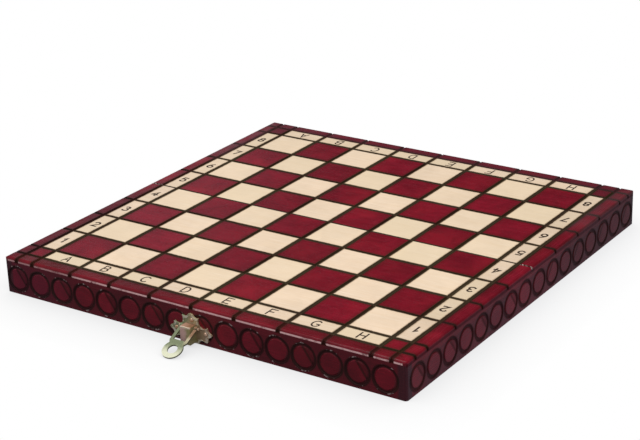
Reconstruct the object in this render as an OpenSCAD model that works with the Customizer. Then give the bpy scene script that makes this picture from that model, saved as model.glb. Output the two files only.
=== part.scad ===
// Folding board box: two equal trays hinged along their long inner edge.
// Opened flat, as drawn here, the tray floors make one chequered playing face.
// Folded by half a turn, the trays close rim to rim and a ring lever latches them.
// Frame: +X along the front edge, +Y to the back, +Z up, the table at z = 0.
// Origin: on the table, below the middle of the fold. All sizes in millimetres.

/* [Board] */

// Side of one square of the playing face
square = 37; // [30:0.5:45]
// Width of the lettered strip around the squares
strip_w = 15.5; // [10:0.5:20]
// Width of the frame's top, outside the strip
rim_w = 11.5; // [9:0.5:16]
// Height of one tray, from the table to the playing face
tray_h = 28.5; // [26:0.5:40]

/* [Walls and panels] */

// Thickness of the outer walls under the rebate
wall_t = 14; // [12.5:0.5:18]
// Thickness of the wall beside the fold
centre_t = 8; // [7.5:0.5:12]
// Thickness of the playing panel, let in flush with the frame
panel_t = 4; // [3:0.5:6]
// Thickness of the felt under the panel
felt_t = 0.8; // [0.5:0.1:1.5]
// Gap left around the felt
felt_gap = 0.8; // [0.5:0.1:2]
// Rounding of the top outer edges and the upright corners
edge_r = 2.2; // [1.6:0.1:3]

/* [Burnt lines] */

// Width of the burnt lines that run across the fold
line_w = 2.8; // [1:0.1:3.4]
// Width of the burnt lines along the fold
cross_w = 2.2; // [1:0.1:3.4]
// Depth of a burnt line
line_d = 0.8; // [0.4:0.1:1.5]
// How far a line runs down over the frame's edge
line_drop = 3.4; // [2.6:0.1:5]
// Width of the bevel on each side of the fold
fold_bevel = 0.6; // [0.3:0.1:1]
// Number of rings pressed into one tray's side wall; the long walls have twice as many
rings = 8; // [7:1:9]
// Outer radius of a ring, as a share of the distance from ring to ring
ring_share = 0.465; // [0.36:0.0025:0.48]
// Width of a ring's line
ring_w = 2.5; // [1.4:0.1:3]
// Depth of a ring's line
ring_d = 0.6; // [0.3:0.1:1]
// Space left between the rings and the table
ring_low = 2.3; // [2:0.1:5]
// How far the front rings are moved to the left
ring_shift = 2.3; // [0:0.1:2.5]

/* [Hinges] */

// Distance of each hinge's middle from the inside of the side wall
hinge_in = 56; // [30:1:90]
// Length of a hinge
hinge_l = 24; // [20:1:40]
// Width of a leaf, from the pin to its edge
leaf_w = 6.4; // [5.5:0.1:7]
// Thickness of a leaf
leaf_t = 0.9; // [0.6:0.1:1.2]
// Radius of the hinge knuckles
knuckle_r = 1.25; // [1.1:0.05:1.5]
// Radius of the hinge pins
pin_r = 0.55; // [0.4:0.05:0.7]
// Running clearance of every pin in its bore
pin_gap = 0.05; // [0.02:0.01:0.1]
// Space between knuckles, and round them in the wood
knuckle_gap = 0.35; // [0.3:0.05:0.6]

/* [Clasp] */

// Width of the scalloped plate
clasp_w = 36.4; // [34:0.2:40]
// Height of the plate's middle above the table
clasp_z = 9.4; // [9:0.1:11]
// Thickness of the plates
plate_t = 1; // [0.8:0.1:1.4]
// Height of the raised border pressed into the scalloped plate
relief = 0.35; // [0.1:0.05:0.6]
// Half width of the folded bracket
bracket_hw = 4.3; // [3.8:0.1:4.6]
// How far the bracket stands out from the wall
bracket_d = 8; // [7:0.1:8.2]
// Height of the bracket's lower and upper end above the table
bracket_z0 = 1.8; // [1.6:0.1:3]
bracket_z1 = 14.9; // [14.7:0.1:16]
// Thickness of the bracket's sheet
bracket_t = 0.8; // [0.6:0.1:1]
// Height of the lever's pivot above the table
pivot_z = 13; // [12.8:0.05:13.2]
// Distance of the lever's pivot from the wall
pivot_d = 2.8; // [2.7:0.05:3.2]

/* [Lever] */

// Thickness of the lever
lever_t = 1.2; // [1:0.1:1.4]
// Distance from the pivot to the middle of the finger ring
ring_l = 21.6; // [21:0.1:22]
// Outer radius of the finger ring
loop_r = 7.8; // [7:0.1:8]
// Radius of the hole in the finger ring
loop_hole_r = 3.8; // [3.6:0.1:4.4]
// Inner edge of each arm, from the middle
arm_x = 5.1; // [5:0.1:5.4]
// Width of each arm
arm_w = 2.4; // [2:0.1:2.6]

/* [Catch] */

// Radius of the knob's head, which the finger ring drops over
knob_r = 2.9; // [2.4:0.1:3.1]
// Radius of the knob's neck
neck_r = 2; // [1.6:0.1:2.2]
// How far the knob stands out from the wall
knob_d = 5.4; // [5:0.1:6]
// Half width of the catch plate
catch_hw = 9; // [8:0.1:11]

/* [Node to draw] */

// One piece by its name, or all of them

/* [Hidden] */
$fn = 64;
over = 1;
half_squares = 4 * square;
strip_e = half_squares + strip_w;
half = strip_e + rim_w;
inner = half - wall_t;
panel_z = tray_h - panel_t;
hinge_x = inner - hinge_in;
notch = edge_r - 0.8;
k = clasp_w / 36.4;
ring_pitch = (half - 3.4) / rings;
ring_r = ring_share * ring_pitch;
ring_z = ring_low + ring_r;
arm_c = arm_x + arm_w / 2;
eye_r = 1.5;
pivot_r = 0.6;
pivot_half = arm_x + arm_w + 0.3;
nail_r = 0.6;
nail_head = 1.5;
nail_l = 7;
body_l = norm([bracket_d - pivot_d, pivot_z - bracket_z0]) + 0.6;
lever_end = norm([ring_l + loop_r, lever_t / 2]);
lever_a = asin((pivot_z - 0.05) / lever_end) - atan2(lever_t / 2, ring_l + loop_r);
knuckle_l = (hinge_l - 2 * knuckle_gap) / 3;
screw_x = hinge_l / 2 - 4.5;
screw_y = 0.64 * leaf_w;
screw_r = 0.7;
screw_head = 1.3;
screw_l = 8;
knob_z = ring_l - pivot_z;
// Nail places on the two plates, as x and height above the table
plate_nails = [[-12.6 * k, clasp_z], [12.6 * k, clasp_z], [1.2, clasp_z + 8.6 * k]];
catch_nails_at = [[-6.2, knob_z - 4.4], [6.2, knob_z - 4.4], [0, knob_z + 6]];

// Colours of the sub-parts
wood_dark = [0.36, 0.06, 0.09];
wood_light = [0.88, 0.78, 0.62];
felt_c = [0.10, 0.22, 0.14];
brass_c = [0.62, 0.58, 0.38];

// One burnt line of width w along X, cut into the playing face
module burnt_line(w, reach) {
  translate([0, 0, tray_h])
    rotate([90, 0, 90])
      linear_extrude(height = 2 * reach, center = true)
        polygon([[-w / 2, over], [-w / 2, 0], [-w / 4, -line_d], [w / 4, -line_d],
          [w / 2, 0], [w / 2, over]]);
}

// Lines along the fold and across it
module line_along_x(reach) { burnt_line(cross_w, reach); }
module line_along_y(reach) { rotate([0, 0, 90]) burnt_line(line_w, reach); }

// Bevel of the playing face where the two halves meet
module fold_edge() {
  translate([0, 0, tray_h])
    rotate([90, 0, 90])
      linear_extrude(height = 2 * half + 2 * over, center = true)
        polygon([[-fold_bevel, over], [-fold_bevel, 0], [over, -fold_bevel - over],
          [over, over]]);
}

// A line of width w carried over the front edge of the frame and down the wall
module edge_drop(x, w) {
  translate([x, -half, tray_h - line_drop])
    linear_extrude(height = line_drop + over)
      polygon([[-w / 2, -over], [-w / 2, 0], [-w / 4, line_d], [w / 4, line_d],
        [w / 2, 0], [w / 2, -over]]);
  translate([x - w / 4, -half - over, tray_h - notch])
    cube([w / 2, notch + over, notch + over]);
}

// The same over the left edge
module left_drop(y) {
  rotate([0, 0, -90]) edge_drop(-y, cross_w);
}

// Lines of the front edge: square borders, strip border on both sides
module front_lines() {
  for (i = [0:8]) {
    translate([i * square - half_squares, -half, 0]) line_along_y(rim_w + strip_w);
    edge_drop(i * square - half_squares, line_w);
  }
  for (s = [-1, 1]) {
    translate([s * strip_e, -half, 0]) line_along_y(rim_w + strip_w);
    edge_drop(s * strip_e, line_w);
  }
  translate([0, -strip_e, 0]) line_along_x(half + over);
}

// Lines of the front half's left edge, from the strip border to the fold
module left_lines() {
  for (j = [0:3]) {
    translate([-half, j * square - half_squares, 0]) line_along_x(rim_w + strip_w);
    left_drop(j * square - half_squares);
  }
  translate([-half, -strip_e, 0]) line_along_x(rim_w + strip_w);
  left_drop(-strip_e);
  translate([-strip_e, 0, 0]) line_along_y(half + over);
  fold_edge();
}

// A ring of burnt line, to be cut along +Z from z = 0
module ring_cut() {
  rotate_extrude()
    polygon([[ring_r - ring_w, -over], [ring_r, -over], [ring_r, 0],
      [ring_r - ring_w / 4, ring_d], [ring_r - ring_w * 3 / 4, ring_d],
      [ring_r - ring_w, 0]]);
}

// Waste outside a rounded edge that runs along +Z through the origin
module edge_waste(len) {
  translate([0, 0, -over])
    difference() {
      translate([-over, -over, 0]) cube([edge_r + over, edge_r + over, len + 2 * over]);
      translate([edge_r, edge_r, -over]) cylinder(r = edge_r, h = len + 4 * over);
    }
}

// Rounding of the front wall's top edge
module front_edge_waste() {
  translate([-half - over, -half, tray_h])
    rotate([0, 90, 0])
      edge_waste(2 * half + 2 * over);
}

// Upright corner rounding at the front left
module corner_waste() {
  translate([-half, -half, 0]) edge_waste(tray_h);
}

// Long outer wall with mitred ends, rebate, rings, lines and nail holes
module long_wall_shape(nails) {
  difference() {
    linear_extrude(height = tray_h)
      polygon([[-half, -half], [half, -half], [inner, -inner], [-inner, -inner]]);
    translate([-strip_e, -strip_e, panel_z])
      cube([2 * strip_e, strip_e, panel_t + over]);
    front_edge_waste();
    corner_waste();
    mirror([1, 0, 0]) corner_waste();
    for (i = [0:2 * rings - 1])
      translate([(i + 0.5 - rings) * ring_pitch - ring_shift, -half, ring_z])
        rotate([-90, 0, 0])
          ring_cut();
    front_lines();
    for (p = nails)
      translate([p[0], -half - over, p[1]])
        rotate([-90, 0, 0])
          cylinder(r = nail_r, h = nail_l - plate_t + over);
  }
}

// Side wall of the front half: mitred at the corner, square at the fold
module left_wall_shape() {
  difference() {
    linear_extrude(height = tray_h)
      polygon([[-half, -half], [-inner, -inner], [-inner, 0], [-half, 0]]);
    translate([-strip_e, -strip_e, panel_z])
      cube([strip_e, strip_e + over, panel_t + over]);
    rotate([0, 0, -90])
      front_edge_waste();
    corner_waste();
    for (j = [0:rings - 1])
      translate([-half, -(j + 0.508) * ring_pitch, ring_z])
        rotate([0, 90, 0])
          ring_cut();
    left_lines();
  }
}

// Wall beside the fold, under the panel, let in for the hinges
module centre_wall_shape() {
  difference() {
    translate([-inner, -centre_t, 0]) cube([2 * inner, centre_t, panel_z]);
    for (s = [-1, 1])
      translate([s * hinge_x, 0, 0]) {
        translate([-hinge_l / 2, -leaf_w, -over])
          cube([hinge_l, leaf_w + over, leaf_t + over]);
        rotate([0, 90, 0])
          cylinder(r = knuckle_r + knuckle_gap, h = hinge_l + 2 * knuckle_gap,
            center = true);
        for (t = [-1, 1])
          translate([t * screw_x, -screw_y, -over])
            cylinder(r = screw_r, h = screw_l + over);
      }
  }
}

// Half of the playing face, with the lines between the squares
module panel_shape() {
  difference() {
    translate([-strip_e, -strip_e, panel_z]) cube([2 * strip_e, strip_e, panel_t]);
    for (i = [0:8])
      translate([i * square - half_squares, 0, 0]) line_along_y(half + over);
    for (s = [-1, 1])
      translate([s * strip_e, 0, 0]) line_along_y(half + over);
    for (j = [0:3])
      translate([0, j * square - half_squares, 0]) line_along_x(half + over);
    translate([0, -strip_e, 0]) line_along_x(half + over);
    fold_edge();
  }
}

// Lining glued under the panel, inside the tray
module felt_shape() {
  translate([-inner + felt_gap, -inner + felt_gap, panel_z - felt_t])
    cube([2 * (inner - felt_gap), inner - centre_t - 2 * felt_gap, felt_t]);
}

// Knuckle along X with its bore, from x0 to x1
module knuckle(x0, x1, bore) {
  translate([x0, 0, 0])
    rotate([0, 90, 0])
      difference() {
        cylinder(r = knuckle_r, h = x1 - x0);
        translate([0, 0, -over]) cylinder(r = bore, h = x1 - x0 + 2 * over);
      }
}

// Plate of a leaf towards -Y, with holes for its two screws
module leaf_plate() {
  difference() {
    translate([-hinge_l / 2, -leaf_w, 0]) cube([hinge_l, leaf_w, leaf_t]);
    for (t = [-1, 1])
      translate([t * screw_x, -screw_y, -over]) {
        cylinder(r = screw_r, h = leaf_t + 2 * over);
        cylinder(r = screw_head, h = over + leaf_t / 2);
      }
  }
}

// Leaf of the front half: carries the two outer knuckles
module front_leaf() {
  a = hinge_l / 2;
  b = knuckle_l / 2 + knuckle_gap;
  c = knuckle_r + knuckle_gap;
  difference() {
    union() {
      leaf_plate();
      knuckle(-a, -b, pin_r);
      knuckle(b, a, pin_r);
    }
    translate([-b, -c, -c]) cube([2 * b, 2 * c, 2 * c]);
    rotate([0, 90, 0])
      cylinder(r = pin_r, h = hinge_l + 2, center = true);
  }
}

// Leaf of the back half: carries the middle knuckle
module back_leaf() {
  a = hinge_l / 2;
  b = knuckle_l / 2;
  c = knuckle_r + knuckle_gap;
  difference() {
    union() {
      mirror([0, 1, 0]) leaf_plate();
      knuckle(-b, b, pin_r + pin_gap);
    }
    translate([b, -c, -c]) cube([a - b + over, 2 * c, 2 * c]);
    translate([-a - over, -c, -c]) cube([a - b + over, 2 * c, 2 * c]);
    rotate([0, 90, 0])
      cylinder(r = pin_r + pin_gap, h = hinge_l + 2, center = true);
  }
}

// Pin through all three knuckles
module hinge_pin() {
  rotate([0, 90, 0])
    cylinder(r = pin_r, h = hinge_l, center = true);
}

// Flat-headed screw, pointing up into the wood
module screw() {
  cylinder(r = screw_head, h = leaf_t / 2);
  cylinder(r = screw_r, h = screw_l);
}

// The screws of one half's two leaves
module screws() {
  for (s = [-1, 1])
    for (t = [-1, 1])
      translate([s * hinge_x + t * screw_x, -screw_y, 0])
        screw();
}

// Round-headed nail along +Z, the head above z = 0, the shank below
module nail() {
  rotate_extrude()
    polygon([[0, -nail_l], [nail_r, -nail_l], [nail_r, 0], [nail_head, 0],
      [nail_head * 0.86, 0.45], [nail_head * 0.5, 0.75], [0, 0.85]]);
}

// Outline of the scalloped plate about its middle
module plate_outline() {
  scale([k, k])
    difference() {
      union() {
        polygon([[-7.2, -8.4], [0, -8.9], [7.2, -8.4], [7.2, 11], [0, 13.2], [-7.2, 11]]);
        polygon([[-14.2, -6.2], [14.2, -6.2], [18.2, 0], [14.2, 4.8],
          [-14.2, 4.8], [-18.2, 0]]);
      }
      for (s = [-1, 1]) {
        translate([s * 5.2, 14]) circle(r = 3.6);
        translate([s * 10.9, 8.2]) circle(r = 4.6);
        translate([s * 17.8, 4.3]) circle(r = 3.3);
        translate([s * 17.8, -4.5]) circle(r = 3.2);
        translate([s * 10.2, -9]) circle(r = 3.5);
      }
    }
}

// Field inside the plate's raised border, open at the lever's eyes and the bracket
module plate_field() {
  scale([0.86, 0.86]) plate_outline();
  for (s = [-1, 1])
    translate([s * arm_c - 2, pivot_z - clasp_z - 2.4]) square([4, 4.8]);
  translate([-bracket_hw - 0.1, bracket_z0 - clasp_z - 0.1])
    square([2 * bracket_hw + 0.2, bracket_z1 - bracket_z0]);
}

// Pressed plate on the front wall, with its border and nail holes
module clasp_plate_shape() {
  difference() {
    translate([0, -half, clasp_z])
      rotate([90, 0, 0])
        difference() {
          linear_extrude(height = plate_t + relief) plate_outline();
          translate([0, 0, plate_t]) linear_extrude(height = over) plate_field();
        }
    for (p = plate_nails)
      translate([p[0], -half + over, p[1]])
        rotate([90, 0, 0])
          cylinder(r = nail_r, h = plate_t + 2 * over);
  }
}

// Folded sheet standing out of the plate; the lever swings on its two sides
module bracket_shape() {
  w = 2 * bracket_hw;
  t = bracket_t;
  translate([-bracket_hw, -half - bracket_d, bracket_z0])
    difference() {
      cube([w, bracket_d - plate_t, bracket_z1 - bracket_z0]);
      translate([t, t, -over])
        cube([w - 2 * t, bracket_d, bracket_z1 - bracket_z0 - t + over]);
      translate([-over, bracket_d - pivot_d, pivot_z - bracket_z0])
        rotate([0, 90, 0])
          cylinder(r = pivot_r, h = w + 2 * over);
    }
}

// Pin through the bracket, with a peened head at each end
module pivot_pin_shape() {
  translate([0, -half - pivot_d, pivot_z])
    rotate([0, 90, 0]) {
      cylinder(r = pivot_r, h = 2 * pivot_half, center = true);
      for (s = [-1, 1])
        translate([0, 0, s * (pivot_half + 0.25)])
          cylinder(r = 1.1, h = 0.5, center = true);
    }
}

// Outline of the lever seen square on: x across, y away from the pivot
module lever_outline() {
  difference() {
    union() {
      for (s = [-1, 1])
        translate([s * arm_c - arm_w / 2, 0]) square([arm_w, body_l + 1]);
      polygon([[-arm_x - arm_w, body_l], [arm_x + arm_w, body_l],
        [arm_x + arm_w, body_l + 1.2], [5.9, body_l + 3.8], [5.9, ring_l],
        [-5.9, ring_l], [-5.9, body_l + 3.8], [-arm_x - arm_w, body_l + 1.2]]);
      translate([0, ring_l]) circle(r = loop_r);
    }
    translate([0, ring_l]) circle(r = loop_hole_r);
  }
}

// Forked lever with rolled eyes and a finger ring, drawn lying along -Y
module lever_flat() {
  difference() {
    union() {
      translate([0, 0, -lever_t / 2])
        linear_extrude(height = lever_t)
          mirror([0, 1]) lever_outline();
      for (s = [-1, 1])
        translate([s * arm_c, 0, 0])
          rotate([0, 90, 0])
            cylinder(r = eye_r, h = arm_w, center = true);
    }
    rotate([0, 90, 0])
      cylinder(r = pivot_r + pin_gap, h = 4 * arm_c, center = true);
  }
}

// Lever as it rests, its ring on the table
module lever_shape() {
  translate([0, -half - pivot_d, pivot_z])
    rotate([lever_a, 0, 0])
      lever_flat();
}

// Catch plate on the back wall, opposite the clasp when the box is folded
module catch_plate_shape() {
  difference() {
    translate([0, half + plate_t, knob_z])
      rotate([90, 0, 0])
        linear_extrude(height = plate_t)
          difference() {
            union() {
              circle(r = 7.4);
              translate([-catch_hw, -6.6]) square([2 * catch_hw, 4.4]);
              translate([-3.2, 0]) square([6.4, 8.6]);
            }
            circle(r = neck_r);
          }
    for (p = catch_nails_at)
      translate([p[0], half + plate_t + over, p[1]])
        rotate([90, 0, 0])
          cylinder(r = nail_r, h = plate_t + 2 * over);
  }
}

// Mushroom knob riveted in the catch plate
module knob_shape() {
  translate([0, half, knob_z])
    rotate([-90, 0, 0])
      rotate_extrude()
        polygon([[0, 0], [neck_r, 0], [neck_r, knob_d - 1.4], [knob_r, knob_d - 1.1],
          [knob_r, knob_d - 0.5], [knob_r - 0.7, knob_d], [0, knob_d]]);
}

// Front half
module front_wall() { color(wood_dark) long_wall_shape(plate_nails); }
module front_left_wall() { color(wood_dark) left_wall_shape(); }
module front_right_wall() { color(wood_dark) mirror([1, 0, 0]) left_wall_shape(); }
module front_centre_wall() { color(wood_dark) centre_wall_shape(); }
module front_panel() { color(wood_light) panel_shape(); }
module front_felt() { color(felt_c) felt_shape(); }

// Back half, the front half mirrored over the fold
module back_wall() {
  color(wood_dark) mirror([0, 1, 0]) long_wall_shape(catch_nails_at);
}
module back_left_wall() { color(wood_dark) mirror([0, 1, 0]) left_wall_shape(); }
module back_right_wall() {
  color(wood_dark) mirror([1, 0, 0]) mirror([0, 1, 0]) left_wall_shape();
}
module back_centre_wall() { color(wood_dark) mirror([0, 1, 0]) centre_wall_shape(); }
module back_panel() { color(wood_light) mirror([0, 1, 0]) panel_shape(); }
module back_felt() { color(felt_c) mirror([0, 1, 0]) felt_shape(); }

// Hinges
module left_hinge_front_leaf() {
  color(brass_c) translate([-hinge_x, 0, 0]) front_leaf();
}
module left_hinge_back_leaf() {
  color(brass_c) translate([-hinge_x, 0, 0]) back_leaf();
}
module left_hinge_pin() { color(brass_c) translate([-hinge_x, 0, 0]) hinge_pin(); }
module right_hinge_front_leaf() {
  color(brass_c) translate([hinge_x, 0, 0]) front_leaf();
}
module right_hinge_back_leaf() {
  color(brass_c) translate([hinge_x, 0, 0]) back_leaf();
}
module right_hinge_pin() { color(brass_c) translate([hinge_x, 0, 0]) hinge_pin(); }
module hinge_screws_front() { color(brass_c) screws(); }
module hinge_screws_back() { color(brass_c) mirror([0, 1, 0]) screws(); }

// Clasp on the front wall
module clasp_plate() { color(brass_c) clasp_plate_shape(); }
module clasp_bracket() { color(brass_c) bracket_shape(); }
module clasp_pivot_pin() { color(brass_c) pivot_pin_shape(); }
module clasp_nails() {
  color(brass_c)
    for (p = plate_nails)
      translate([p[0], -half - plate_t, p[1]])
        rotate([90, 0, 0])
          nail();
}
module latch_lever() { color(brass_c) lever_shape(); }

// Catch on the back wall
module catch_plate() { color(brass_c) catch_plate_shape(); }
module catch_knob() { color(brass_c) knob_shape(); }
module catch_nails() {
  color(brass_c)
    for (p = catch_nails_at)
      translate([p[0], half + plate_t, p[1]])
        rotate([-90, 0, 0])
          nail();
}

front_wall();
front_left_wall();
front_right_wall();
front_centre_wall();
front_panel();
front_felt();
back_wall();
back_left_wall();
back_right_wall();
back_centre_wall();
back_panel();
back_felt();
left_hinge_front_leaf();
left_hinge_back_leaf();
left_hinge_pin();
right_hinge_front_leaf();
right_hinge_back_leaf();
right_hinge_pin();
hinge_screws_front();
hinge_screws_back();
clasp_plate();
clasp_bracket();
clasp_pivot_pin();
clasp_nails();
latch_lever();
catch_plate();
catch_knob();
catch_nails();
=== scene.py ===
"""Looks of the folding chess box: lacquered wood with burnt lines, letters, felt and brass."""
import math

import bpy
from mathutils import Matrix, Vector


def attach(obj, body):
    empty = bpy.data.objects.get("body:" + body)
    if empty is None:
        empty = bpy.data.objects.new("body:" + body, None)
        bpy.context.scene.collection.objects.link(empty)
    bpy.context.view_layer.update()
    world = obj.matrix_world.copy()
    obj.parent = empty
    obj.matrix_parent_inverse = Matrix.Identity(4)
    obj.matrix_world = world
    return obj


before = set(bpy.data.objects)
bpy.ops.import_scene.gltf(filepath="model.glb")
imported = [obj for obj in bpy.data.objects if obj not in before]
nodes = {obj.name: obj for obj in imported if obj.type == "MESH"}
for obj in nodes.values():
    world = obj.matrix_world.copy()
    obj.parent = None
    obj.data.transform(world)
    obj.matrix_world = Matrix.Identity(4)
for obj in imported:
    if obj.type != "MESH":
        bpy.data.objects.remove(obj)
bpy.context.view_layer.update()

# Lengths of the model, in millimetres like all lengths of the materials
SQUARE = 37.0
STRIP = 15.5
HALF_SQUARES = 4 * SQUARE  # from the middle to the strips
STRIP_E = HALF_SQUARES + STRIP  # to the strips' outer edge
HALF = 175.0  # to the walls' outer faces
TRAY_H = 28.5
WALL_T = 14.0
CENTRE_T = 8.0  # of the walls beside the fold
PANEL_T = 4.0
BRACKET_TOP = 14.9
SCREW_Y = 4.096  # from the fold to the hinges' screws
# Rings of a tray's side wall; the long walls have twice as many
RINGS = 8
RING_END = 3.4  # left free at a wall's end
PITCH = (HALF - RING_END) / RINGS
RING_SHARE = 0.465  # outer radius in pitches
RING_R = RING_SHARE * PITCH
RING_LOW = 2.3
RING_Z = RING_LOW + RING_R
RING_SHIFT = 2.3  # of the long walls' rings to the left
SIDE_SHIFT = 0.008  # of the side walls' rings outwards, in pitches

# Depths and heights to which a mask reaches
SKIN = 0.6  # into the wood behind a face
FACE_DEPTH = 1.3  # into the outer face, with its rings
RIM_DEPTH = 2.0  # below the playing face, for the rim's top
BURN_DEPTH = 1.5  # below the playing face, for the panels' burnt lines
STAINED_RIM = 0.9  # up from the table, on the trays' lower rims
REBATE_Z = 20.0  # down to this height, for the rebate of the panels

# Distances from the middle of a burnt line at which each mask is 0 and 1,
# for lines across the fold (X), along it (Y) and on it (SEAM)
CORE_X, CORE_Y, CORE_SEAM = (2.3, 1.55), (2.0, 1.3), (1.35, 0.75)
BORDER_X, BORDER_Y = (3.3, 1.9), (2.8, 1.6)
SMOKE_X, SMOKE_Y = (6.0, 1.5), (5.0, 1.2)

# The flat side of a ring: its direction, and its distance from the ring's middle
FLAT_RUN, FLAT_UP, FLAT_AT = 0.821, 0.572, 4.2

# Signs on the strips
SIGN_W = 5.7
SIGN_H = 8.4
LETTER_STROKE = 1.3
DIGIT_STROKE = 1.6
DIGIT_SIZE = 0.9
# Length by which a stroke runs on past its ends, in widths of the stroke
OVERHANG = 0.35
# Height of the signs over the playing face, and in metres of each stroke over the one before
SIGN_LIFT = 0.02
STROKE_LIFT = 4e-6


def lin(r, g, b):
    """Linear colour of an sRGB one."""
    def f(v):
        v = v / 255
        return v / 12.92 if v <= 0.04045 else ((v + 0.055) / 1.055) ** 2.4
    return (f(r), f(g), f(b), 1.0)


# Stained, pale and raw wood
STAIN_DEEP = lin(108, 10, 26)
STAIN = lin(122, 14, 34)
STAIN_WARM = lin(132, 20, 34)
CREAM = lin(241, 220, 195)
CREAM_DEEP = lin(235, 210, 180)
CREAM_YELLOW = lin(232, 214, 178)
RAW = lin(206, 170, 122)
RAW_DEEP = lin(176, 134, 88)
# Burnt lines, rings and letters, and the smoke around them
BURNT = lin(42, 26, 10)
BURNT_OLIVE = lin(46, 36, 16)
BURNT_RED = lin(50, 22, 16)
SCORCH = lin(150, 112, 66)
RING_RED = lin(36, 20, 18)
RING_GREY = lin(38, 30, 24)
SOOT_LONG = lin(40, 20, 22)
SOOT_SIDE = lin(40, 22, 20)
INK = lin(44, 30, 22)
INK_FADED = lin(78, 58, 38)
# Uneven stain and wear of the frame, and painted reflections and highlights on it
PLUM_PANEL_REFLECTION = lin(66, 32, 42)
PLUM_CORNER = lin(62, 26, 34)
PLUM_RIM_REFLECTION = lin(70, 36, 44)
PURPLE = lin(106, 18, 52)
DISC_RED = lin(170, 24, 46)
GAP_RED = lin(168, 30, 28)
RIM_BROWN = lin(64, 16, 8)
EDGE_DARK = lin(60, 8, 18)
FAR_REFLECTION_BROWN = lin(50, 30, 26)
SHEEN_GREY = lin(84, 58, 62)
WORN_HIGHLIGHT_PINK = lin(255, 206, 206)
RING_GLINT_HIGHLIGHT = lin(196, 176, 176)
SEAM_CHIP = lin(222, 196, 190)
# Felt
FELT_DEEP = lin(26, 62, 38)
FELT = lin(48, 92, 58)
# Metals, clean and tarnished
HINGE, HINGE_DULL = lin(205, 180, 120), lin(150, 126, 74)
STEEL, STEEL_DULL = lin(176, 174, 168), lin(120, 116, 108)
NAIL, NAIL_DULL = lin(250, 214, 186), lin(206, 160, 126)
LEVER, LEVER_DULL = lin(188, 194, 160), lin(138, 144, 108)
CLASP, CLASP_DULL = lin(206, 178, 160), lin(150, 142, 104)
GROOVE = lin(30, 26, 22)
# Painted reflections, highlights and shade on the clasp's brass, and how much of them covers it
PLATE_GREEN_REFLECTION, PLATE_PINK_REFLECTION = lin(146, 160, 118), lin(186, 156, 124)
PLATE_PALE_REFLECTION, PLATE_OLIVE_REFLECTION = lin(212, 198, 152), lin(158, 150, 92)
PLATE_BORDER_HIGHLIGHT = lin(252, 244, 226)
BRACKET_PINK_REFLECTION, BRACKET_OLIVE_REFLECTION = lin(240, 196, 186), lin(178, 170, 116)
BRACKET_COPPER_REFLECTION, BRACKET_BROWN_REFLECTION = lin(196, 148, 126), lin(150, 104, 72)
BRACKET_FOLD_HIGHLIGHT = lin(250, 232, 208)
LEVER_GREEN_REFLECTION, LEVER_HIGHLIGHT = lin(122, 134, 100), lin(240, 242, 212)
LEVER_WARM_REFLECTION, LEVER_PIVOT_SHADE, LEVER_SIDE_SHADE = lin(226, 206, 172), lin(140, 76, 46), lin(88, 84, 56)
PAINTED_LIGHT_SHARE = 0.88


class Tree:
    """The node tree of a material or a world, written as expressions."""

    def __init__(self, owner):
        owner.use_nodes = True
        self.tree = owner.node_tree
        self.tree.nodes.clear()

    def put(self, socket, value):
        if isinstance(value, bpy.types.NodeSocket):
            self.tree.links.new(value, socket)
        else:
            socket.default_value = value

    def node(self, kind, *values, **props):
        """A new node with its first inputs set to these values."""
        made = self.tree.nodes.new(kind)
        for k, v in props.items():
            setattr(made, k, v)
        for socket, value in zip(made.inputs, values):
            self.put(socket, value)
        return made

    def math(self, op, *values):
        return self.node("ShaderNodeMath", *values, operation=op).outputs[0]

    def chain(self, op, values):
        """The operation over all the values, from the left."""
        made = values[0]
        for value in values[1:]:
            made = self.math(op, made, value)
        return made

    def mul(self, *values): return self.chain("MULTIPLY", values)
    def most(self, *values): return self.chain("MAXIMUM", values)
    def least(self, a, b): return self.math("MINIMUM", a, b)
    def add(self, a, b): return self.math("ADD", a, b)
    def sub(self, a, b): return self.math("SUBTRACT", a, b)
    def div(self, a, b): return self.math("DIVIDE", a, b)
    def abs(self, a): return self.math("ABSOLUTE", a)
    def fract(self, a): return self.math("FRACT", a)
    def floor(self, a): return self.math("FLOOR", a)
    def above(self, a, b): return self.math("GREATER_THAN", a, b)
    def below(self, a, b): return self.math("LESS_THAN", a, b)
    def invert(self, a): return self.math("SUBTRACT", 1.0, a)

    def length(self, a, b):
        return self.math("SQRT", self.add(self.mul(a, a), self.mul(b, b)))

    def odd(self, whole):
        """1 for an odd number, 0 for an even one."""
        return self.above(self.fract(self.mul(whole, 0.5)), 0.25)

    def step(self, a, at_0, at_1, low=0.0, high=1.0):
        """Smooth change from low to high as a goes from at_0 to at_1."""
        values = (a, at_0, at_1, low, high)
        return self.node("ShaderNodeMapRange", *values, interpolation_type="SMOOTHSTEP").outputs[0]

    def band(self, a, middle, at_0, at_1):
        """1 near the middle, and 0 from the distance at_0 on."""
        return self.step(self.abs(self.sub(a, middle)), at_0, at_1)

    def vec(self, x, y, z):
        return self.node("ShaderNodeCombineXYZ", x, y, z).outputs[0]

    def split(self, vector):
        return self.node("ShaderNodeSeparateXYZ", vector).outputs

    def mix(self, share, a, b):
        """Colour a at share 0, colour b at share 1."""
        made = self.node("ShaderNodeMix", share, data_type="RGBA")
        self.put(made.inputs[6], a)
        self.put(made.inputs[7], b)
        return made.outputs[2]

    def tint(self, colour, other, share, *masks):
        """The colour, going over to the other by that share where the masks are 1."""
        return self.mix(self.mul(*masks, share), colour, other)

    def shade(self, colour, factor):
        """Colour times a number."""
        made = self.node("ShaderNodeMix", 1.0, data_type="RGBA", blend_type="MULTIPLY")
        self.put(made.inputs[6], colour)
        self.put(made.inputs[7], self.vec(factor, factor, factor))
        return made.outputs[2]


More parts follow.
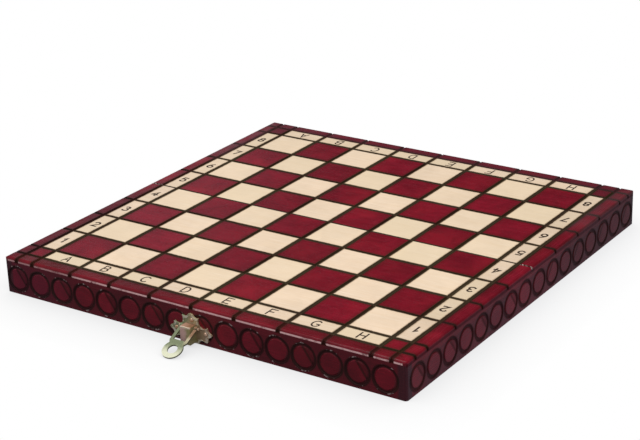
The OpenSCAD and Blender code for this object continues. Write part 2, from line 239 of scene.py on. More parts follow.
class Net(Tree):
    """A piece's material; p is the place in millimetres, and x, y and z are its parts."""

    def __init__(self, name):
        self.mat = bpy.data.materials.new(name)
        super().__init__(self.mat)
        self.coords = self.node("ShaderNodeTexCoord").outputs
        scaled = self.node("ShaderNodeVectorMath", self.coords["Object"], operation="SCALE")
        self.put(scaled.inputs["Scale"], 1000.0)
        self.p = scaled.outputs[0]
        self.x, self.y, self.z = self.split(self.p)

    def noise(self, at, scale, detail=3.0, rough=0.55, twist=0.0):
        made = self.node("ShaderNodeTexNoise")
        self.put(made.inputs["Vector"], at)
        self.put(made.inputs["Scale"], scale)
        self.put(made.inputs["Detail"], detail)
        self.put(made.inputs["Roughness"], rough)
        self.put(made.inputs["Distortion"], twist)
        return made.outputs[0]

    def patches(self, scale, detail, at_0, at_1, low=0.0, high=1.0, rough=0.55):
        """Patches that go from low to high, as the noise goes from at_0 to at_1."""
        return self.step(self.noise(self.p, scale, detail, rough), at_0, at_1, low, high)

    def swing(self, value, width):
        """A value from 0 to 1 brought to both sides of 0."""
        return self.mul(self.sub(value, 0.5), width)

    def scatter(self, a, b):
        """A number from 0 to 1 for each pair of whole numbers."""
        pair = self.vec(a, b, 0.0)
        return self.node("ShaderNodeTexWhiteNoise", pair, noise_dimensions="2D").outputs["Value"]

    def surface(self, colour, rough, height, depth, shine=None, **fixed):
        """Principled shader from these, with a bump of that depth in metres."""
        bsdf = self.node("ShaderNodeBsdfPrincipled")
        self.put(bsdf.inputs["Base Color"], colour)
        self.put(bsdf.inputs["Roughness"], rough)
        bump = self.node("ShaderNodeBump")
        self.put(bump.inputs["Strength"], 1.0)
        self.put(bump.inputs["Distance"], depth)
        self.put(bump.inputs["Height"], height)
        self.put(bsdf.inputs["Normal"], bump.outputs[0])
        if shine is not None:
            self.put(bsdf.inputs["Specular IOR Level"], shine)
        for k, v in fixed.items():
            self.put(bsdf.inputs[k.replace("_", " ")], v)
        self.node("ShaderNodeOutputMaterial", bsdf.outputs[0])
        return self.mat


def grain(n, along):
    """Fibre, flecks and broad patches of wood whose grain runs along x or y."""
    slow = 0.045
    if along == "x":
        at = n.vec(n.mul(n.x, slow), n.y, n.z)
    else:
        at = n.vec(n.x, n.mul(n.y, slow), n.z)
    fibre = n.noise(at, 0.9, 5.0, 0.6, 0.3)
    flecks = n.step(n.noise(at, 2.6, 2.0, 0.5), 0.60, 0.72)
    broad = n.noise(n.p, 0.021, 3.0, 0.5)
    return fibre, flecks, broad


def stained(n, wood, tone):
    """Red stain over the grain, deeper or paler by the tone."""
    fibre, flecks, broad = wood
    cloud = n.noise(n.p, 0.055, 3.0, 0.6, 0.6)
    colour = n.mix(n.step(fibre, 0.25, 0.75), STAIN_DEEP, STAIN)
    colour = n.tint(colour, STAIN_WARM, 0.7, n.step(broad, 0.45, 0.7))
    colour = n.tint(colour, STAIN_DEEP, 0.35, flecks)
    colour = n.shade(colour, n.step(cloud, 0.3, 0.7, 0.84, 1.14))
    return n.shade(colour, n.step(tone, 0.0, 1.0, 0.88, 1.1))


def natural(n, wood, pale, deep):
    """Unstained wood between two colours."""
    fibre, flecks, broad = wood
    cloud = n.noise(n.p, 0.06, 3.0, 0.6, 0.4)
    colour = n.mix(n.step(fibre, 0.3, 0.75), deep, pale)
    colour = n.tint(colour, deep, 0.35, flecks)
    colour = n.shade(colour, n.step(cloud, 0.3, 0.7, 0.965, 1.025))
    return n.shade(colour, n.step(broad, 0.3, 0.7, 0.96, 1.03))


def grid_distance(n, v, fold=False):
    """Distance from |v| to the nearest burnt line; across the fold there is none at 0."""
    a = n.abs(v)
    cell = n.math("ROUND", n.div(a, SQUARE))
    if fold:
        cell = n.most(cell, 1.0)
    return n.least(n.abs(n.sub(a, n.mul(cell, SQUARE))), n.abs(n.sub(a, STRIP_E)))


def burnt_lines(n):
    """Masks of the burnt core of the lines, their scorched border and the smoke around them."""
    wobble = n.swing(n.noise(n.p, 0.35, 3.0), 0.9)
    dx = n.add(grid_distance(n, n.x), wobble)
    dy = n.add(grid_distance(n, n.y, fold=True), wobble)
    seam = n.add(n.abs(n.y), n.mul(wobble, 0.5))
    core = n.most(n.step(dx, *CORE_X), n.step(dy, *CORE_Y), n.step(seam, *CORE_SEAM))
    border = n.most(n.step(dx, *BORDER_X), n.step(dy, *BORDER_Y))
    smoke = n.most(n.step(dx, *SMOKE_X), n.step(dy, *SMOKE_Y))
    return core, border, smoke


def cell_tone(n):
    """A number from 0 to 1 for each square, strip cell and rim patch."""
    def beyond(v):
        """1 on the strips and 2 on the rim, times a number that keeps their cells apart."""
        return n.mul(n.add(n.above(n.abs(v), HALF_SQUARES), n.above(n.abs(v), STRIP_E)), 11.0)
    return n.scatter(n.add(n.floor(n.div(n.x, SQUARE)), beyond(n.y)),
                     n.add(n.floor(n.div(n.y, SQUARE)), beyond(n.x)))


def panel_material():
    """The playing face: light and dark squares, pale strips and burnt lines, on raw wood."""
    n = Net("playing_face")
    wood = grain(n, "x")
    fibre, flecks, broad = wood
    tone = cell_tone(n)
    out_x, out_y = n.above(n.abs(n.x), HALF_SQUARES), n.above(n.abs(n.y), HALF_SQUARES)
    strip, corner = n.most(out_x, out_y), n.mul(out_x, out_y)
    # The strips are a little browner than the light squares, most on the right
    right = n.above(n.x, HALF_SQUARES)
    pale = natural(n, wood, CREAM, CREAM_DEEP)
    pale = n.tint(pale, CREAM_YELLOW, 0.5, n.step(tone, 0.3, 1.0))
    pale = n.shade(pale, n.sub(0.96, n.add(n.mul(strip, 0.065), n.mul(right, 0.05))))
    # Painted reflection: the corners at the back are tinted plum-grey, duller than the dark squares
    dark = stained(n, wood, tone)
    dark = n.tint(dark, PLUM_PANEL_REFLECTION, 0.5, corner, n.above(n.y, 0.0))
    # An even number is added, so that the sum is never below 0
    total = n.add(n.floor(n.div(n.x, SQUARE)), n.floor(n.div(n.y, SQUARE)))
    light = n.mul(n.most(n.odd(n.add(total, 64.0)), strip), n.invert(corner))
    colour = n.mix(light, dark, pale)
    core, border, smoke = burnt_lines(n)
    colour = n.mix(n.mul(border, n.mul(light, 0.4)), colour, SCORCH)
    colour = n.mix(n.mul(smoke, n.mul(n.invert(light), 0.3)), colour, BURNT)
    colour = n.tint(colour, n.mix(n.step(broad, 0.4, 0.6), BURNT, BURNT_OLIVE), 0.96, core)
    below_lines = n.below(n.z, TRAY_H - BURN_DEPTH)
    colour = n.mix(below_lines, colour, natural(n, wood, RAW, RAW_DEEP))
    rough = n.add(n.step(fibre, 0.2, 0.8, 0.20, 0.28), n.mul(core, 0.3))
    height = n.add(n.mul(fibre, 0.5), n.mul(flecks, -0.3))
    shine = n.mul(n.invert(n.mul(core, 0.65)), 0.38)
    return n.surface(colour, rough, height, 0.00006, shine)


def above_stained_rim(n):
    """1 above the lower rim, over whose edge the stain bleeds unevenly."""
    bleed = n.swing(n.noise(n.p, 0.25, 3.0), 1.6)
    return n.above(n.add(n.z, bleed), STAINED_RIM)


def centre_wall_material():
    """Wall beside the fold: stained on the fold's side, raw inside."""
    n = Net("centre_wall_wood")
    wood = grain(n, "x")
    inside = n.most(n.above(n.abs(n.y), CENTRE_T - SKIN), n.above(n.z, TRAY_H - PANEL_T - SKIN))
    inside = n.mul(inside, above_stained_rim(n))
    colour = n.mix(inside, stained(n, wood, cell_tone(n)), natural(n, wood, RAW, RAW_DEEP))
    fibre, _, _ = wood
    return n.surface(colour, n.step(fibre, 0.2, 0.8, 0.36, 0.5), fibre, 0.00008)


class Wall(Net):
    """Outer wall: stained outside, raw inside, with burnt lines over its edge and rings on its face."""

    def __init__(self, name, along):
        super().__init__(name)
        self.long = along == "x"
        self.wood = grain(self, along)
        across, self.run = (self.y, self.x) if self.long else (self.x, self.y)
        self.out = self.abs(across)
        self.face = self.above(self.out, HALF - FACE_DEPTH)
        self.rim = self.above(self.z, TRAY_H - RIM_DEPTH)
        # The part of the face below the rounded edge
        self.lower = self.step(self.z, TRAY_H - 1.6, TRAY_H - 4.0)
        core, _, smoke = burnt_lines(self)
        top = self.step(self.z, TRAY_H - 3.9, TRAY_H - 3.1)
        self.core, self.smoke = self.mul(core, top), self.mul(smoke, top)
        self.find_rings()

    def find_rings(self):
        """Distance r from a ring's middle, height dz over it, and masks of rings, discs and gaps."""
        if self.long:
            place = self.add(self.div(self.add(self.run, RING_SHIFT), PITCH), float(RINGS))
        else:
            place = self.add(self.div(self.abs(self.run), PITCH), -SIDE_SHIFT)
        local = self.swing(self.fract(place), PITCH)
        self.dz = self.sub(self.z, RING_Z)
        shake = self.swing(self.noise(self.p, 0.22, 2.0), 0.9)
        self.r = self.add(self.length(local, self.dz), shake)
        self.number = self.floor(place)
        last = (2 * RINGS if self.long else RINGS) - 0.5
        self.real = self.mul(self.above(self.number, -0.5), self.below(self.number, last))
        # The burn is wider on the side walls
        wider = 0.0 if self.long else 0.8
        ring = self.mul(self.step(self.r, RING_R - 2.5 - wider, RING_R - 0.9 - wider),
                        self.step(self.r, RING_R + 1.4, RING_R + 0.3))
        # Every other ring is flattened on one side
        slant = self.add(self.mul(local, FLAT_RUN if self.long else -FLAT_RUN),
                         self.mul(self.dz, FLAT_UP))
        chord = self.mul(self.band(slant, FLAT_AT, 1.5, 0.6), self.below(self.r, RING_R + 0.4))
        beyond = self.mul(self.step(slant, 3.6, 4.6), self.below(self.r, RING_R))
        odd = self.odd(self.floor(self.add(place, 32.0)))
        flat = self.mul(self.most(self.mul(chord, 0.85), self.mul(beyond, 0.4)),
                        self.invert(odd) if self.long else odd)
        self.rings = self.mul(self.most(ring, flat), self.real, self.face)
        self.disc = self.mul(self.step(self.r, RING_R - 0.8, RING_R - 2.8), self.real)
        self.soot = self.mul(self.invert(self.disc), self.lower, self.face)

    def stain(self):
        """Stain of the wall, each disc in a tone of its own."""
        colour = stained(self, self.wood, cell_tone(self))
        tone = self.scatter(self.number, 3.0 if self.long else self.above(self.run, 0.0))
        toned = self.shade(colour, self.step(tone, 0.0, 1.0, 0.92, 1.14))
        return self.mix(self.mul(self.disc, self.face, self.lower), colour, toned)

    def burn(self, colour, opacity):
        """Darkens the wall near its corners, and burns in the lines, and the rings by that opacity."""
        _, _, broad = self.wood
        share = self.step(broad, 0.4, 0.6)
        near_corner = self.step(self.abs(self.run), HALF - 8.0, HALF - 5.5)
        colour = self.tint(colour, PLUM_CORNER, 0.8, near_corner, self.face, self.lower)
        colour = self.tint(colour, BURNT_RED, 0.4, self.smoke)
        colour = self.tint(colour, self.mix(share, RING_RED, RING_GREY), opacity, self.rings)
        return self.tint(colour, self.mix(share, BURNT_RED, BURNT), 0.92, self.core)

    def complete(self, colour, dull):
        """Surface of the wall; it shines less where dull is above 0."""
        rebate = self.mul(self.below(self.out, STRIP_E + 0.05),
                          self.mul(self.above(self.z, REBATE_Z), self.below(self.z, TRAY_H - 1.2)))
        inside = self.mul(self.below(self.out, HALF - WALL_T + SKIN), above_stained_rim(self))
        inside = self.most(inside, rebate)
        colour = self.mix(inside, colour, natural(self, self.wood, RAW, RAW_DEEP))
        fibre, _, _ = self.wood
        burnt = self.most(self.core, self.rings)
        rough = self.add(self.step(fibre, 0.2, 0.8, 0.21, 0.30), self.mul(burnt, 0.22))
        rough = self.add(rough, self.mul(inside, 0.25))
        height = self.add(self.mul(fibre, 0.6), self.mul(self.noise(self.p, 0.09, 2.0), 2.5))
        shine = self.mul(self.invert(self.most(self.mul(burnt, 0.6), dull)), 0.45)
        return self.surface(colour, rough, height, 0.00012, shine)


def long_wall_material():
    """Front and back wall."""
    n = Wall("long_wall_wood", "x")
    # The left end is more purple; the wood between the discs is smoked
    colour = n.tint(n.stain(), PURPLE, 0.4, n.face, n.lower, n.step(n.x, -90.0, -150.0))
    colour = n.tint(colour, SOOT_LONG, 0.36, n.soot)
    colour = n.burn(colour, 0.79)
    # Painted highlight and lacquer worn pale, in a band just below the rounded edge
    edge = n.mul(n.band(n.z, TRAY_H - 2.3, 0.85, 0.4), n.step(n.out, HALF - 1.0, HALF - 0.5))
    worn = n.mul(edge, n.patches(0.16, 4.0, 0.30, 0.52, rough=0.65), n.invert(n.core),
                 n.below(n.abs(n.run), HALF - 3.0), n.step(n.run, -120.0, -95.0, 0.5, 1.0))
    colour = n.mix(worn, colour, WORN_HIGHLIGHT_PINK)
    # Painted highlights: small bright glints above and below, on the burnt rims of the rings
    ring_glint = n.mul(n.band(n.r, RING_R + 0.5, 0.55, 0.3), n.above(n.abs(n.dz), 0.86 * RING_R),
                 n.patches(0.42, 2.0, 0.54, 0.62), n.mul(n.real, n.face))
    colour = n.tint(colour, RING_GLINT_HIGHLIGHT, 0.6, ring_glint)
    # The rim in front is browner, and deepest towards the left corner; the one at the back is duller,
    # with a plum-grey painted reflection
    brown = n.mul(n.rim, n.below(n.y, 0.0), n.patches(0.06, 3.0, 0.3, 0.6, 0.7, 1.0),
                  n.step(n.out, HALF - 1.0, HALF - 4.0, 0.35, 1.0))
    colour = n.tint(colour, RIM_BROWN, n.step(n.x, -135.0, -80.0, 0.62, 0.40), brown)
    colour = n.tint(colour, PLUM_RIM_REFLECTION, 0.5, n.rim, n.above(n.y, 0.0))
    return n.complete(colour, 0.0)


def side_wall_material():
    """Left and right walls of both trays."""
    n = Wall("side_wall_wood", "y")
    # The discs are redder, and the smoke between them stays in the lower part
    upper = n.step(n.z, 20.5, 22.5)
    colour = n.stain()
    colour = n.mix(n.mul(n.disc, n.face), colour, n.mix(0.2, colour, DISC_RED))
    colour = n.tint(colour, SOOT_SIDE, n.sub(0.22, n.mul(upper, 0.2)), n.soot)
    colour = n.tint(colour, GAP_RED, 0.15, n.soot, upper)
    colour = n.burn(colour, 0.66)
    # The right wall takes a dull brownish painted reflection towards the back, and all are dark below the
    # rounded edge
    far_reflection = n.mul(n.face, n.above(n.x, 0.0), n.step(n.y, 15.0, 90.0))
    colour = n.tint(colour, FAR_REFLECTION_BROWN, 0.5, far_reflection)
    edge = n.mul(n.band(n.z, TRAY_H - 3.0, 1.4, 0.8), n.face)
    colour = n.tint(colour, EDGE_DARK, 0.5, edge)
    # The left rim is darker in front; the far ends of both take a greyish painted reflection
    deep = n.mul(n.rim, n.below(n.x, 0.0), n.step(n.y, 20.0, -60.0))
    colour = n.shade(colour, n.invert(n.mul(deep, 0.42)))
    painted_sheen = n.mul(n.rim, n.step(n.y, 60.0, 90.0), n.patches(0.06, 3.0, 0.3, 0.6, 0.5, 1.0))
    colour = n.tint(colour, SHEEN_GREY, 0.5, painted_sheen)
    # Pale chips along the seam between the halves
    chips = n.mul(n.step(n.abs(n.y), 1.3, 0.9), n.patches(0.7, 2.0, 0.54, 0.6))
    colour = n.tint(colour, SEAM_CHIP, 0.6, chips, n.rim)
    return n.complete(colour, n.most(n.mul(edge, 0.7), n.mul(far_reflection, 0.3)))


def felt_material():
    n = Net("felt")
    fine = n.noise(n.p, 1.6, 5.0, 0.75, 1.5)
    colour = n.mix(n.step(fine, 0.35, 0.7), FELT_DEEP, FELT)
    colour = n.shade(colour, n.patches(0.03, 3.0, 0.3, 0.7, 0.85, 1.1))
    rough = n.step(fine, 0.3, 0.7, 0.88, 0.98)
    return n.surface(colour, rough, fine, 0.0004, Sheen_Weight=0.5, Sheen_Roughness=0.6)


def ink_material():
    n = Net("burnt_letters")
    soot = n.noise(n.p, 0.9, 3.0)
    colour = n.mix(n.step(soot, 0.35, 0.7), INK, INK_FADED)
    return n.surface(colour, n.step(soot, 0.3, 0.7, 0.5, 0.65), soot, 0.00005)


def metal_material(name, base, tarnish, rough_low, rough_high, metallic=1.0, slots=False, paint=None):
    """Worn sheet or turned metal; slots cuts the screws' slots, paint tints a piece by place with painted
    reflections, highlights and shade.
    """
    n = Net(name)
    cloud = n.noise(n.p, 0.35, 4.0, 0.6)
    fine = n.noise(n.vec(n.mul(n.x, 3.0), n.mul(n.y, 0.4), n.mul(n.z, 0.4)), 1.5, 4.0, 0.7)
    pits = n.patches(3.2, 2.0, 0.66, 0.76)
    colour = n.mix(n.step(cloud, 0.42, 0.66), base, tarnish)
    colour = n.tint(colour, tarnish, 0.5, pits)
    worn = n.add(n.mul(cloud, 0.6), n.mul(fine, 0.4))
    rough = n.step(worn, 0.35, 0.65, rough_low, rough_high)
    height = n.add(n.mul(fine, 0.5), n.mul(pits, -0.6))
    if paint:
        colour = paint(n, colour, cloud)
    if slots:
        groove = n.mul(n.band(n.abs(n.y), SCREW_Y, 0.26, 0.18), n.below(n.z, 0.1))
        colour = n.tint(colour, GROOVE, 0.9, groove)
        height = n.sub(height, n.mul(groove, 6.0))
    return n.surface(colour, rough, height, 0.00005, Metallic=metallic)


def plate_painted_light(n, colour, cloud):
    """Plate's painted reflections: greenish at the left, pinkish at the right, olive below, and a painted
    highlight along its raised border.
    """
    x = n.add(n.x, n.swing(cloud, 8.0))
    tint = n.mix(n.step(x, -7.0, 6.0), PLATE_GREEN_REFLECTION, PLATE_PINK_REFLECTION)
    top_right = n.mul(n.step(n.z, 13.0, 17.0), n.step(x, -4.0, 6.0))
    tint = n.mix(top_right, tint, PLATE_PALE_REFLECTION)
    tint = n.tint(tint, PLATE_OLIVE_REFLECTION, 0.8, n.step(n.z, 6.0, 2.0))
    # Painted highlight along the raised border
    border = n.mul(n.above(n.abs(n.y), HALF + 1.2), n.step(cloud, 0.38, 0.52))
    tint = n.tint(tint, PLATE_BORDER_HIGHLIGHT, 0.75, border)
    return n.tint(colour, tint, 0.85, n.below(n.y, 0.0))


def bracket_painted_light(n, colour, cloud):
    """Bracket's painted light: a painted highlight on the folded edge, above a face whose painted
    reflection goes from pinkish to olive.
    """
    x = n.add(n.x, n.swing(cloud, 4.0))
    face = n.mix(n.step(x, -1.0, 2.5), BRACKET_PINK_REFLECTION, BRACKET_OLIVE_REFLECTION)
    top = n.mix(n.step(x, -3.0, 3.0), BRACKET_COPPER_REFLECTION, BRACKET_BROWN_REFLECTION)
    tint = n.mix(n.above(n.z, BRACKET_TOP - 0.2), face, top)
    # Painted highlight on the folded top edge
    fold = n.mul(n.step(n.y, -HALF - 6.6, -HALF - 7.2), n.step(n.z, 13.6, 14.3))
    tint = n.tint(tint, BRACKET_FOLD_HIGHLIGHT, 0.9, fold)
    return n.mix(PAINTED_LIGHT_SHARE, colour, tint)


def lever_painted_light(n, colour, cloud):
    """Lever's painted light: a grey-green painted reflection at the arms, a bright painted highlight at
    the ring's outer end.
    """
    y = n.add(n.y, n.swing(cloud, 6.0))
    tint = n.mix(n.step(y, -HALF - 18.0, -HALF - 27.0), LEVER_GREEN_REFLECTION, LEVER_HIGHLIGHT)
    # Warm painted reflection on the right arm, and painted shade in the recess at the pivot
    right = n.step(n.x, 3.5, 6.0)
    tint = n.tint(tint, LEVER_WARM_REFLECTION, 0.7, right, n.step(y, -HALF - 19.0, -HALF - 13.0))
    tint = n.tint(tint, LEVER_PIVOT_SHADE, 0.85, right, n.step(n.y, -HALF - 13.0, -HALF - 9.5))
    # Painted shade on the sheet's cut edges, whose faces turn sideways
    side_shade = n.below(n.abs(n.split(n.coords["Normal"])["Z"]), 0.5)
    tint = n.tint(tint, LEVER_SIDE_SHADE, 0.8, side_shade)
    return n.mix(PAINTED_LIGHT_SHARE, colour, tint)


long_wood = long_wall_material()
side_wood = side_wall_material()
centre_wood = centre_wall_material()
panel_wood = panel_material()
felt = felt_material()
hinge_brass = metal_material("hinge_brass", HINGE, HINGE_DULL, 0.22, 0.42)
steel = metal_material("pin_steel", STEEL, STEEL_DULL, 0.25, 0.45, slots=True)
nail_brass = metal_material("nail_brass", NAIL, NAIL_DULL, 0.2, 0.4, 0.35)
lever_brass = metal_material("lever_brass", LEVER, LEVER_DULL, 0.3, 0.45, 0.15, paint=lever_painted_light)
clasp_brass = metal_material("clasp_brass", CLASP, CLASP_DULL, 0.3, 0.46, 0.25, paint=plate_painted_light)
bracket_brass = metal_material("bracket_brass", CLASP, CLASP_DULL, 0.3, 0.46, 0.25, paint=bracket_painted_light)
ink = ink_material()

FINISH = {
    "front_wall": long_wood, "back_wall": long_wood,
    "front_left_wall": side_wood, "front_right_wall": side_wood,
    "back_left_wall": side_wood, "back_right_wall": side_wood,
    "front_centre_wall": centre_wood, "back_centre_wall": centre_wood,
    "front_panel": panel_wood, "back_panel": panel_wood,
    "front_felt": felt, "back_felt": felt,
    "left_hinge_front_leaf": hinge_brass, "left_hinge_back_leaf": hinge_brass,
    "right_hinge_front_leaf": hinge_brass, "right_hinge_back_leaf": hinge_brass,
    "left_hinge_pin": steel, "right_hinge_pin": steel,
    "hinge_screws_front": steel, "hinge_screws_back": steel,
    "clasp_plate": clasp_brass, "clasp_bracket": bracket_brass, "clasp_pivot_pin": nail_brass,
    "clasp_nails": nail_brass, "latch_lever": lever_brass, "catch_plate": clasp_brass,
    "catch_knob": clasp_brass, "catch_nails": nail_brass,
}
for piece, solid in nodes.items():
    for slot in solid.material_slots:
        slot.material = FINISH[piece]


def arc(cx, cy, rx, ry, start, end, steps=14):
    """Points of an elliptic arc, angles in degrees."""
    turns = [math.radians(start + (end - start) * i / steps) for i in range(steps + 1)]
    return [(cx + rx * math.cos(t), cy + ry * math.sin(t)) for t in turns]


# Strokes of each sign in a box one wide and one high
SIGNS = {
    "A": [[(0, 0), (0.5, 1), (1, 0)], [(0.17, 0.35), (0.83, 0.35)]],
    "B": [[(0.05, 0), (0.05, 1)] + arc(0.5, 0.77, 0.36, 0.23, 90, -90) + [(0.05, 0.54)],
          [(0.05, 0.54)] + arc(0.55, 0.27, 0.4, 0.27, 90, -90) + [(0.05, 0)]],
    "C": [arc(0.56, 0.5, 0.54, 0.5, 48, 312, 24)],
    "D": [[(0.05, 0), (0.05, 1)] + arc(0.4, 0.5, 0.56, 0.5, 90, -90, 20) + [(0.05, 0)]],
    "E": [[(0.95, 1), (0.08, 1), (0.08, 0), (0.95, 0)], [(0.08, 0.52), (0.8, 0.52)]],
    "F": [[(0.95, 1), (0.1, 1), (0.1, 0)], [(0.1, 0.52), (0.8, 0.52)]],
    "G": [arc(0.54, 0.5, 0.54, 0.5, 48, 330, 26) + [(1.02, 0.45), (0.6, 0.45)]],
    "H": [[(0.05, 0), (0.05, 1)], [(0.95, 0), (0.95, 1)], [(0.05, 0.52), (0.95, 0.52)]],
    "1": [[(0.2, 0.76), (0.55, 1), (0.55, 0)]],
    "2": [arc(0.5, 0.72, 0.42, 0.28, 165, -30, 16) + [(0.08, 0), (0.95, 0)]],
    "3": [arc(0.46, 0.76, 0.38, 0.24, 150, -80, 16), arc(0.46, 0.27, 0.46, 0.27, 80, -150, 16)],
    "4": [[(0.7, 0), (0.7, 1), (0.02, 0.3), (1, 0.3)]],
    "5": [[(0.9, 1), (0.22, 1), (0.12, 0.56)] + arc(0.46, 0.32, 0.46, 0.32, 125, -150, 18)],
    "6": [[(0.8, 1), (0.4, 0.82), (0.14, 0.55)] + arc(0.5, 0.3, 0.44, 0.3, 180, -180, 22)],
    "7": [[(0.05, 1), (0.95, 1), (0.35, 0)]],
    "8": [arc(0.5, 0.76, 0.36, 0.24, -90, 270, 20), arc(0.5, 0.27, 0.44, 0.27, 90, 450, 22)],
}


def ribbon(points, width):
    """Left and right edge of a stroke of that width along the points, with square ends."""
    pts = [Vector(p) for p in points]
    closed = (pts[0] - pts[-1]).length < 1e-6
    left, right = [], []
    for i, p in enumerate(pts):
        before = (p - pts[i - 1]) if i else (pts[-1] - pts[-2] if closed else None)
        after = (pts[i + 1] - p) if i < len(pts) - 1 else (pts[1] - pts[0] if closed else None)
        before, after = before or after, after or before
        a, b = before.normalized(), after.normalized()
        t = (a + b).normalized()
        miter = 1 / max(0.45, t.dot(a))
        side = Vector((-t.y, t.x)) * (width / 2 * miter)
        end = Vector((0, 0))
        if not closed and i == 0:
            end = -a * width * OVERHANG
        if not closed and i == len(pts) - 1:
            end = b * width * OVERHANG
        left.append(p + side + end)
        right.append(p - side + end)
    return left, right


def add_object(name, data):
    obj = bpy.data.objects.new(name, data)
    bpy.context.scene.collection.objects.link(obj)
    return obj


def signs(name, body, items):
    """One mesh of burnt signs; each item is the sign, its middle and +1 or -1 for its up."""
    verts, faces = [], []
    lift = (TRAY_H + SIGN_LIFT) / 1000
    for char, (cx, cy), up in items:
        letter = char.isalpha()
        size = 1.0 if letter else DIGIT_SIZE
        for k, stroke in enumerate(SIGNS[char]):
            pts = [((px - 0.5) * SIGN_W * size, (py - 0.5) * SIGN_H * size) for px, py in stroke]
            left, right = ribbon(pts, LETTER_STROKE if letter else DIGIT_STROKE)
            base = len(verts)
            for a, b in zip(left, right):
                for q in (a, b):
                    verts.append(((cx + up * q.x) / 1000, (cy + up * q.y) / 1000, lift + k * STROKE_LIFT))
            for i in range(len(left) - 1):
                j = base + 2 * i
                faces.append((j, j + 1, j + 3, j + 2))
    mesh = bpy.data.meshes.new(name)
    mesh.from_pydata(verts, [], faces)
    mesh.update()
    for poly in mesh.polygons:
        if poly.normal.z < 0:
            poly.flip()
    mesh.materials.append(ink)
    obj = add_object(name, mesh)
    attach(obj, body)


middle = HALF_SQUARES + STRIP / 2
files = [(c, (i + 0.5) * SQUARE - HALF_SQUARES) for i, c in enumerate("ABCDEFGH")]
ranks = [(c, (i + 0.5) * SQUARE - HALF_SQUARES) for i, c in enumerate("12345678")]
signs("front_letters", "front", [(c, (x, -middle), 1) for c, x in files])
signs("back_letters", "back", [(c, (x, middle), -1) for c, x in files])
for name, body, part in (("front_digits", "front", ranks[:4]), ("back_digits", "back", ranks[4:])):
    signs(name, body, [(c, (-middle, y), 1) for c, y in part] + [(c, (middle, y), -1) for c, y in part])

# Camera at the photograph's place, with its axes to the right, downwards and ahead
RIGHT = Vector((0.831463, 0.554664, -0.031884))
DOWN = Vector((0.18466, -0.330026, -0.925734))
AHEAD = Vector((-0.523994, 0.763826, -0.376829))
CAMERA_AT = (0.70229, -1.03605, 0.53957)
view = bpy.data.cameras.new("camera")
view.lens = 98.7
view.sensor_width = 36.0
view.clip_start = 0.05
view.clip_end = 50.0
camera = add_object("camera", view)
turn = Matrix((RIGHT, -DOWN, -AHEAD)).transposed().to_4x4()
camera.matrix_world = Matrix.Translation(CAMERA_AT) @ turn
bpy.context.scene.camera = camera

# One soft lamp over the front half, aimed at the middle of the board
LAMP_AT = (-0.06, -0.22, 1.32)
light = bpy.data.lights.new("key", "AREA")
light.shape = "SQUARE"
light.size = 0.7
light.energy = 8.2
light.color = (1.0, 0.98, 0.955)
lamp = add_object("key", light)
lamp.location = LAMP_AT
lamp.rotation_mode = "QUATERNION"
lamp.rotation_quaternion = (-Vector(LAMP_AT)).to_track_quat("-Z", "Y")

# Floor: clear where it is open and shaded where the object stands over it,
# so the half that folds below it stays in sight
FLOOR_E = 12.0
FLOOR_Z = -0.0001
SHADE_REACH = 0.055
SHADE = (0.66, 0.66, 0.67, 1)
WHITE = (1, 1, 1, 1)
floor_material = bpy.data.materials.new("floor")
floor_tree = Tree(floor_material)
near = floor_tree.node("ShaderNodeAmbientOcclusion", samples=16)
floor_tree.put(near.inputs["Distance"], SHADE_REACH)
floor_colour = floor_tree.mix(near.outputs["AO"], SHADE, WHITE)
clear = floor_tree.node("ShaderNodeBsdfTransparent", floor_colour)
floor_tree.node("ShaderNodeOutputMaterial", clear.outputs[0])
floor_mesh = bpy.data.meshes.new("floor")
corners = [(x * FLOOR_E, y * FLOOR_E, FLOOR_Z) for x, y in ((-1, -1), (1, -1), (1, 1), (-1, 1))]
floor_mesh.from_pydata(corners, [], [(0, 1, 2, 3)])
floor_mesh.materials.append(floor_material)
floor = add_object("floor", floor_mesh)
floor.visible_diffuse = False
floor.visible_glossy = False
floor.visible_transmission = False
floor.visible_shadow = False

# World: white behind the object, soft light from above, a dim room in reflections;
# all its ramps go from straight below (-1) to straight above (1)
world = bpy.data.worlds.new("studio")
bpy.context.scene.world = world
w = Tree(world)


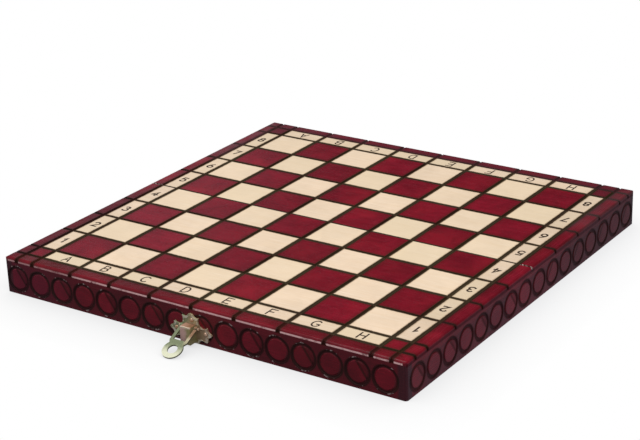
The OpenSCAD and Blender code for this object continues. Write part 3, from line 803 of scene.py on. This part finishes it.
def world_ramp(source, stops):
    """Light along a height from -1 to 1; the first two stops are its ends."""
    scale = w.node("ShaderNodeMapRange", source, -1.0)
    ramp = w.node("ShaderNodeValToRGB", scale.outputs[0])
    elements = ramp.color_ramp.elements
    for k, (place, colour) in enumerate(stops):
        element = elements[k] if k < 2 else elements.new((place + 1) / 2)
        element.position = (place + 1) / 2
        element.color = (*colour, 1.0)
    return ramp.outputs[0]


def background(colour):
    return w.node("ShaderNodeBackground", colour).outputs[0]


to_right, to_back, up = w.split(w.node("ShaderNodeTexCoord").outputs["Generated"])
BLACK, LIT = (0, 0, 0), (1, 1, 1)
ROOM_LEFT = (0.42, 0.40, 0.45, 1)
room_back = world_ramp(up, [(-1.0, (0.22, 0.22, 0.26)), (1.0, (0.08, 0.08, 0.09)),
                            (-0.05, (0.22, 0.22, 0.27)), (0.20, (0.07, 0.07, 0.09)),
                            (0.30, (0.015, 0.015, 0.018)), (0.6, (0.02, 0.02, 0.022))])
room_front = world_ramp(up, [(-1.0, (0.10, 0.10, 0.11)), (1.0, (0.10, 0.10, 0.11)),
                             (0.0, (0.19, 0.19, 0.22))])
room = w.mix(w.step(w.add(to_right, to_back), -0.6, 0.2), room_front, room_back)
# A brighter part of the room, low on the left
low = world_ramp(up, [(-1.0, BLACK), (1.0, BLACK), (0.0, BLACK), (0.1, LIT),
                      (0.325, LIT), (0.385, BLACK)])
room = w.mix(w.mul(w.step(to_right, -0.54, -0.60), low), room, ROOM_LEFT)
sky = world_ramp(up, [(-1.0, (0.06, 0.06, 0.06)), (1.0, (1.0, 0.99, 1.0)),
                      (-0.02, (0.06, 0.06, 0.06)), (0.02, (0.32, 0.318, 0.325))])
ray = w.node("ShaderNodeLightPath").outputs
lit = w.node("ShaderNodeMixShader", ray["Is Glossy Ray"], background(sky), background(room))
seen = w.node("ShaderNodeMixShader", ray["Is Camera Ray"], lit.outputs[0], background(WHITE))
w.node("ShaderNodeOutputWorld", seen.outputs[0])

bpy.context.scene.view_settings.view_transform = "Standard"
